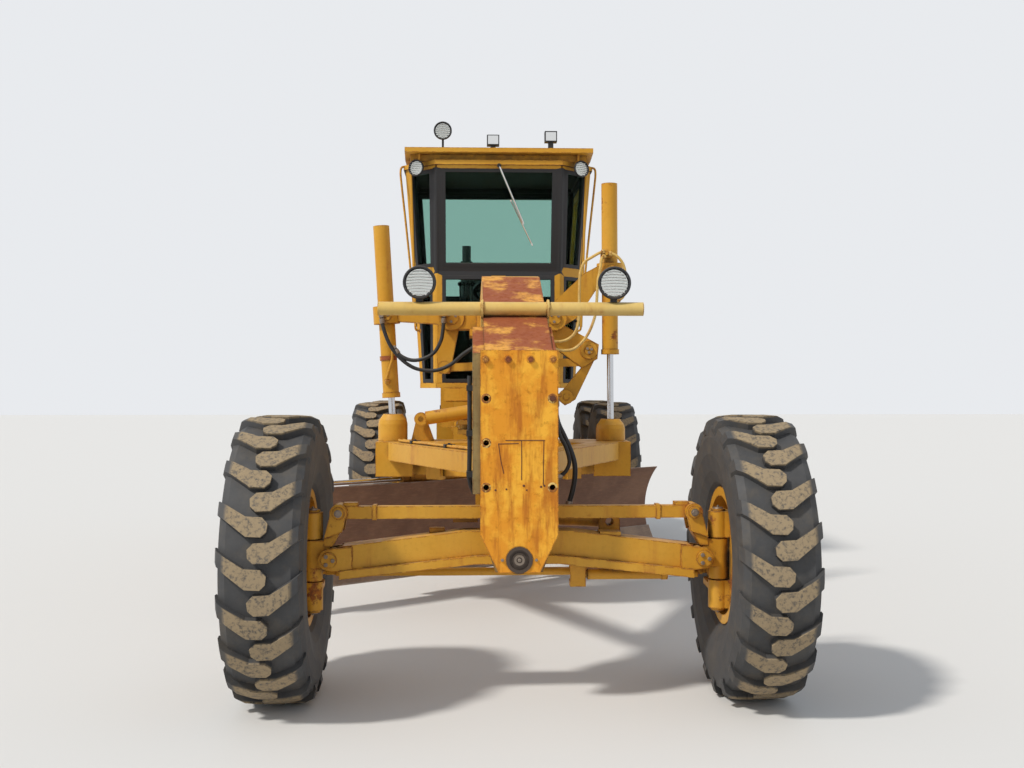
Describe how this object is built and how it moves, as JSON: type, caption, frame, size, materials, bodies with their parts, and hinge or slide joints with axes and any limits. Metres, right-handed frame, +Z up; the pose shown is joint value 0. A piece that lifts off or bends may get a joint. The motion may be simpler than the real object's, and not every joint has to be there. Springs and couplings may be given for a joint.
{
  "type": "motor grader",
  "caption": "Articulated road grader with leaning front wheels, a turning and tilting blade under the frame, a glazed cab and tandem rear wheels.",
  "frame": {"origin": "on the ground under the middle of the front axle, on the centre plane", "axes": "+X to the machine's left, +Y to its rear, +Z up; the front faces -Y"},
  "size_m": [2.9832, 8.245, 3.5771],
  "materials": {
    "yellow_paint": "worn satin with rust",
    "cream_paint": "faded satin",
    "rusty_steel": "rusted",
    "chrome_rod": "polished",
    "rubber_tyre": "dusty matte",
    "lamp_black": "satin",
    "tinted_glass": "green tint",
    "seat_fabric": "matte",
    "black_trim": "matte",
    "engine_grey": "oily"
  },
  "bodies": {
    "front_frame": {"main_frame": "yellow_paint", "front_plate": "rusty_steel", "axle_beam": "yellow_paint", "light_bar": "cream_paint", "work_lamps": "lamp_black", "lift_arms": "yellow_paint", "cab_shell": "yellow_paint", "cab_roof": "yellow_paint", "cab_glass": "tinted_glass", "seat": "seat_fabric", "console": "black_trim"},
    "rear_frame": {"rear_frame": "yellow_paint", "engine": "engine_grey", "hood": "yellow_paint", "grille": "black_trim", "stacks": "black_trim", "tandem_cases": "yellow_paint"},
    "wheel_front_left": {"tyre_fl": "rubber_tyre", "rim_fl": "yellow_paint"},
    "wheel_front_right": {"tyre_fr": "rubber_tyre", "rim_fr": "yellow_paint"},
    "wheel_mid_left": {"tyre_ml": "rubber_tyre", "rim_ml": "yellow_paint"},
    "wheel_mid_right": {"tyre_mr": "rubber_tyre", "rim_mr": "yellow_paint"},
    "wheel_rear_left": {"tyre_rl": "rubber_tyre", "rim_rl": "yellow_paint"},
    "wheel_rear_right": {"tyre_rr": "rubber_tyre", "rim_rr": "yellow_paint"},
    "moldboard": {"moldboard": "rusty_steel", "cutting_edge": "rusty_steel", "side_shift_rod": "chrome_rod"},
    "lean_yoke_left": {"lean_yoke_left": "yellow_paint"},
    "lean_yoke_right": {"lean_yoke_right": "yellow_paint"},
    "knuckle_left": {"knuckle_left": "yellow_paint"},
    "knuckle_right": {"knuckle_right": "yellow_paint"},
    "lean_bar": {"lean_bar": "yellow_paint"},
    "tie_rod_end": {"tie_rod_end": "yellow_paint"},
    "tie_rod": {"tie_rod": "yellow_paint"},
    "steer_barrel": {"steer_barrel": "yellow_paint"},
    "steer_rod": {"steer_rod": "chrome_rod"},
    "lean_barrel": {"lean_barrel": "yellow_paint"},
    "lean_rod": {"lean_rod": "chrome_rod"},
    "artic_barrel_left": {"artic_barrel_left": "yellow_paint"},
    "artic_barrel_right": {"artic_barrel_right": "yellow_paint"},
    "artic_rod_left": {"artic_rod_left": "chrome_rod"},
    "artic_rod_right": {"artic_rod_right": "chrome_rod"},
    "drawbar": {"drawbar": "yellow_paint"},
    "lift_barrel_left": {"lift_barrel_left": "yellow_paint"},
    "lift_barrel_right": {"lift_barrel_right": "yellow_paint"},
    "lift_rod_left": {"lift_rod_left": "chrome_rod"},
    "lift_rod_right": {"lift_rod_right": "chrome_rod"},
    "shift_barrel": {"shift_barrel": "yellow_paint"},
    "shift_rod": {"shift_rod": "chrome_rod"},
    "circle": {"circle": "yellow_paint"},
    "blade_carrier": {"blade_carrier": "yellow_paint"},
    "door_left": {"door_left": "yellow_paint", "door_glass_left": "tinted_glass"},
    "door_right": {"door_right": "yellow_paint", "door_glass_right": "tinted_glass"}
  },
  "joints": [
    {"name": "wheel_spin_front_left", "type": "hinge", "parent": "knuckle_left", "child": "wheel_front_left", "pos_m": [1.135, 0, 0.685], "axis": [1, 0, 0], "continuous": true},
    {"name": "wheel_spin_front_right", "type": "hinge", "parent": "knuckle_right", "child": "wheel_front_right", "pos_m": [-1.135, 0, 0.685], "axis": [1, 0, 0], "continuous": true},
    {"name": "wheel_spin_mid_left", "type": "hinge", "parent": "rear_frame", "child": "wheel_mid_left", "pos_m": [1.1025, 5.16, 0.685], "axis": [1, 0, 0], "continuous": true},
    {"name": "wheel_spin_mid_right", "type": "hinge", "parent": "rear_frame", "child": "wheel_mid_right", "pos_m": [-1.1025, 5.16, 0.685], "axis": [1, 0, 0], "continuous": true},
    {"name": "wheel_spin_rear_left", "type": "hinge", "parent": "rear_frame", "child": "wheel_rear_left", "pos_m": [1.1025, 6.68, 0.685], "axis": [1, 0, 0], "continuous": true},
    {"name": "wheel_spin_rear_right", "type": "hinge", "parent": "rear_frame", "child": "wheel_rear_right", "pos_m": [-1.1025, 6.68, 0.685], "axis": [1, 0, 0], "continuous": true},
    {"name": "wheel_lean_left", "type": "hinge", "parent": "front_frame", "child": "lean_yoke_left", "pos_m": [0.9, 0, 0.68], "axis": [0, 1, 0], "range_deg": [-18, 18]},
    {"name": "wheel_lean_right", "type": "hinge", "parent": "front_frame", "child": "lean_yoke_right", "pos_m": [-0.9, 0, 0.68], "axis": [0, 1, 0], "range_deg": [-18.5, 18.5]},
    {"name": "lean_bar_pivot", "type": "hinge", "parent": "lean_yoke_left", "child": "lean_bar", "pos_m": [0.857, 0, 0.9], "axis": [0, 1, 0], "range_deg": [-19.39, 19.39]},
    {"name": "lean_barrel_pivot", "type": "hinge", "parent": "front_frame", "child": "lean_barrel", "pos_m": [0.462, 0.14, 0.84], "axis": [0, 1, 0], "range_deg": [-0.63, 0.63]},
    {"name": "lean_rod_slide", "type": "slide", "parent": "lean_barrel", "child": "lean_rod", "axis": [-0.9991, 0, 0.0421], "range_m": [-0.07296, 0.07296]},
    {"name": "steer_left", "type": "hinge", "parent": "lean_yoke_left", "child": "knuckle_left", "pos_m": [0.985, 0, 0.68], "axis": [0, 0, 1], "range_deg": [-45, 45]},
    {"name": "steer_right", "type": "hinge", "parent": "lean_yoke_right", "child": "knuckle_right", "pos_m": [-0.985, 0, 0.68], "axis": [0, 0, 1], "range_deg": [-45.5, 45.5]},
    {"name": "tie_end_pivot", "type": "hinge", "parent": "knuckle_left", "child": "tie_rod_end", "pos_m": [0.985, 0.19, 0.58], "axis": [0, 0, 1], "range_deg": [-45.5, 45.5]},
    {"name": "tie_rod_pivot", "type": "hinge", "parent": "tie_rod_end", "child": "tie_rod", "pos_m": [0.925, 0.19, 0.58], "axis": [0, 1, 0], "range_deg": [-17.48, 17.48]},
    {"name": "steer_barrel_pivot", "type": "hinge", "parent": "front_frame", "child": "steer_barrel", "pos_m": [0.3, 0.062, 0.585], "axis": [0, 0, 1], "range_deg": [-1.19, 1.19]},
    {"name": "steer_rod_slide", "type": "slide", "parent": "steer_barrel", "child": "steer_rod", "axis": [1, 0, 0], "range_m": [-0.04948, 0.04948]},
    {"name": "articulation", "type": "hinge", "parent": "front_frame", "child": "rear_frame", "pos_m": [0, 4.85, 1], "axis": [0, 0, 1], "range_deg": [-20, 20]},
    {"name": "artic_barrel_left_pivot", "type": "hinge", "parent": "front_frame", "child": "artic_barrel_left", "pos_m": [0.26, 4.25, 1.17], "axis": [0, 0, 1], "range_deg": [-7.65, 7.65]},
    {"name": "artic_rod_left_slide", "type": "slide", "parent": "artic_barrel_left", "child": "artic_rod_left", "axis": [0.0775, 0.997, 0], "range_m": [-0.1103, 0.1103]},
    {"name": "artic_barrel_right_pivot", "type": "hinge", "parent": "front_frame", "child": "artic_barrel_right", "pos_m": [-0.26, 4.25, 1.17], "axis": [0, 0, 1], "range_deg": [-7.65, 7.65]},
    {"name": "artic_rod_right_slide", "type": "slide", "parent": "artic_barrel_right", "child": "artic_rod_right", "axis": [-0.0775, 0.997, 0], "range_m": [-0.1103, 0.1103]},
    {"name": "blade_lift", "type": "hinge", "parent": "front_frame", "child": "drawbar", "pos_m": [0, 0.48, 1.1], "axis": [1, 0, 0], "range_deg": [-15, 2.5]},
    {"name": "lift_barrel_left_pivot", "type": "hinge", "parent": "front_frame", "child": "lift_barrel_left", "pos_m": [0.74, 2.36, 2.3], "axis": [0, 1, 0], "range_deg": [-0.52, 0.59]},
    {"name": "lift_rod_left_slide", "type": "slide", "parent": "lift_barrel_left", "child": "lift_rod_left", "axis": [0.0046, 0, -1], "range_m": [-0.08598, 0.49585]},
    {"name": "lift_barrel_right_pivot", "type": "hinge", "parent": "front_frame", "child": "lift_barrel_right", "pos_m": [-0.8, 2.36, 2], "axis": [0, 1, 0], "range_deg": [-0.75, 2.02]},
    {"name": "lift_rod_right_slide", "type": "slide", "parent": "lift_barrel_right", "child": "lift_rod_right", "axis": [0.0599, 0, -0.9982], "range_m": [-0.08602, 0.4961]},
    {"name": "shift_rod_pivot", "type": "hinge", "parent": "front_frame", "child": "shift_rod", "pos_m": [0.43, 2.28, 1.44], "axis": [0, 1, 0], "range_deg": [-24.97, 4.58]},
    {"name": "shift_barrel_slide", "type": "slide", "parent": "shift_rod", "child": "shift_barrel", "axis": [-0.9887, 0, -0.1498], "range_m": [-0.02841, 0.15043]},
    {"name": "circle_turn", "type": "hinge", "parent": "drawbar", "child": "circle", "pos_m": [0, 2.75, 0.96], "axis": [0, 0, 1], "continuous": true},
    {"name": "blade_tip", "type": "hinge", "parent": "circle", "child": "blade_carrier", "pos_m": [-0.26473, 3.08885, 0.34], "axis": [0.788, 0.6157, 0], "range_deg": [-5, 40]},
    {"name": "side_shift", "type": "slide", "parent": "blade_carrier", "child": "moldboard", "axis": [0.788, 0.6157, 0], "range_m": [-0.51, 0.66]},
    {"name": "door_left_hinge", "type": "hinge", "parent": "front_frame", "child": "door_left", "pos_m": [0.63592, 4.664, 1.49755], "axis": [0.068, 0, 0.9977], "range_deg": [0, 85]},
    {"name": "door_right_hinge", "type": "hinge", "parent": "front_frame", "child": "door_right", "pos_m": [-0.63592, 4.664, 1.49755], "axis": [0.068, 0, -0.9977], "range_deg": [0, 85]}
  ],
  "couplings": [
    {"joint": "wheel_lean_right", "follows": "wheel_lean_left", "ratio": 1},
    {"joint": "lean_bar_pivot", "follows": "wheel_lean_left", "ratio": -1.0494},
    {"joint": "lean_barrel_pivot", "follows": "wheel_lean_left", "ratio": -0.0073},
    {"joint": "lean_rod_slide", "follows": "wheel_lean_left", "m_per_rad": -0.2195},
    {"joint": "steer_right", "follows": "steer_left", "ratio": 1},
    {"joint": "tie_end_pivot", "follows": "steer_left", "ratio": -1},
    {"joint": "tie_rod_pivot", "follows": "wheel_lean_left", "ratio": -0.94335},
    {"joint": "steer_barrel_pivot", "follows": "steer_left", "ratio": -0.01533},
    {"joint": "steer_rod_slide", "follows": "steer_left", "m_per_rad": -0.05791},
    {"joint": "artic_barrel_left_pivot", "follows": "articulation", "ratio": 0.35757},
    {"joint": "artic_rod_left_slide", "follows": "articulation", "m_per_rad": 0.30453},
    {"joint": "artic_barrel_right_pivot", "follows": "articulation", "ratio": 0.35757},
    {"joint": "artic_rod_right_slide", "follows": "articulation", "m_per_rad": -0.30453},
    {"joint": "lift_barrel_left_pivot", "follows": "blade_lift", "ratio": -0.00597},
    {"joint": "lift_rod_left_slide", "follows": "blade_lift", "m_per_rad": -1.8787},
    {"joint": "lift_barrel_right_pivot", "follows": "blade_lift", "ratio": -0.1013},
    {"joint": "lift_rod_right_slide", "follows": "blade_lift", "m_per_rad": -1.8797},
    {"joint": "shift_rod_pivot", "follows": "blade_lift", "ratio": 1.6315},
    {"joint": "shift_barrel_slide", "follows": "blade_lift", "m_per_rad": -0.55932}
  ]
}
